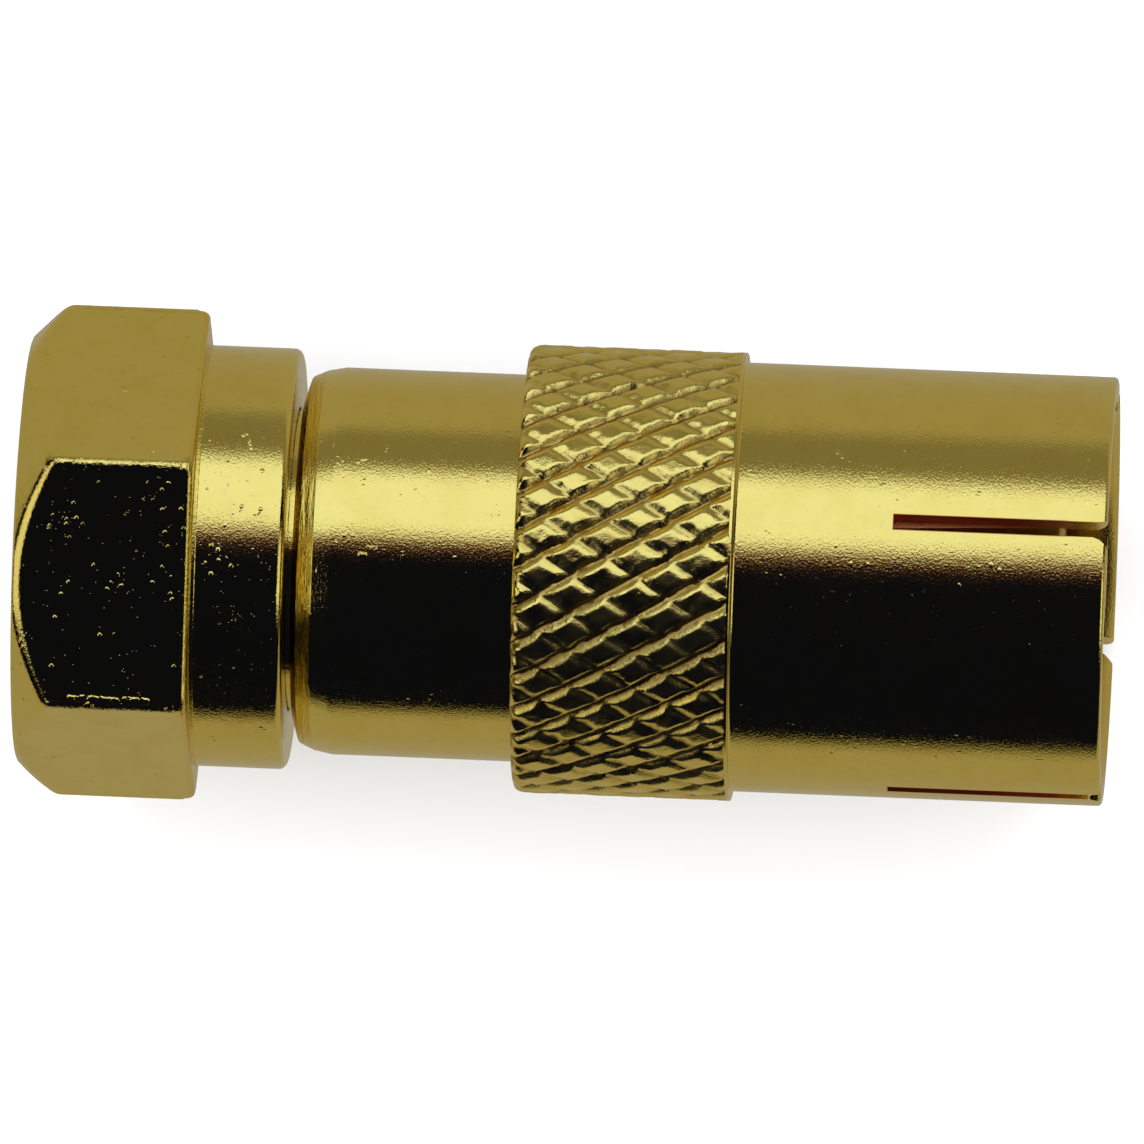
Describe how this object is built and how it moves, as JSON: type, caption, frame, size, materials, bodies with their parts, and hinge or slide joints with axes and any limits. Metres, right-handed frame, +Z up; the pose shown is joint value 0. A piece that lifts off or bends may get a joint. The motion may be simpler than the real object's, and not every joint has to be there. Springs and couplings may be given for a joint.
{
  "type": "coaxial adapter",
  "caption": "Straight coaxial adapter: threaded plug with a captive hex nut and centre pin at one end, slotted push-on socket with a centre contact at the other, knurled grip band between.",
  "frame": {"origin": "on the axis, at the plug's reference plane, which is the front face of the neck inside the nut", "axes": "+X along the axis from the plug to the socket, +Z up with one flat of the nut facing up, +Y to the left of +X"},
  "size_m": [0.0276, 0.0126, 0.0114],
  "materials": {
    "gold_plating": "gold plated, turned and lightly polished",
    "contact_gold": "gold plated, fine turned",
    "spring_bronze": "bright spring bronze, stamped",
    "white_insulator": "matte, turned"
  },
  "bodies": {
    "shell": {"front_body": "gold_plating", "rear_shell": "gold_plating", "front_insulator": "white_insulator", "rear_insulator": "white_insulator", "centre_pin": "contact_gold", "socket_contact": "contact_gold"},
    "ring": {"retaining_ring": "spring_bronze"},
    "nut": {"coupling_nut": "gold_plating"}
  },
  "joints": [
    {"name": "nut_float", "type": "slide", "parent": "shell", "child": "ring", "axis": [1, 0, 0], "range_m": [-0.0002, 0.00012]},
    {"name": "nut_spin", "type": "hinge", "parent": "ring", "child": "nut", "pos_m": [0, 0, 0], "axis": [1, 0, 0], "continuous": true}
  ]
}
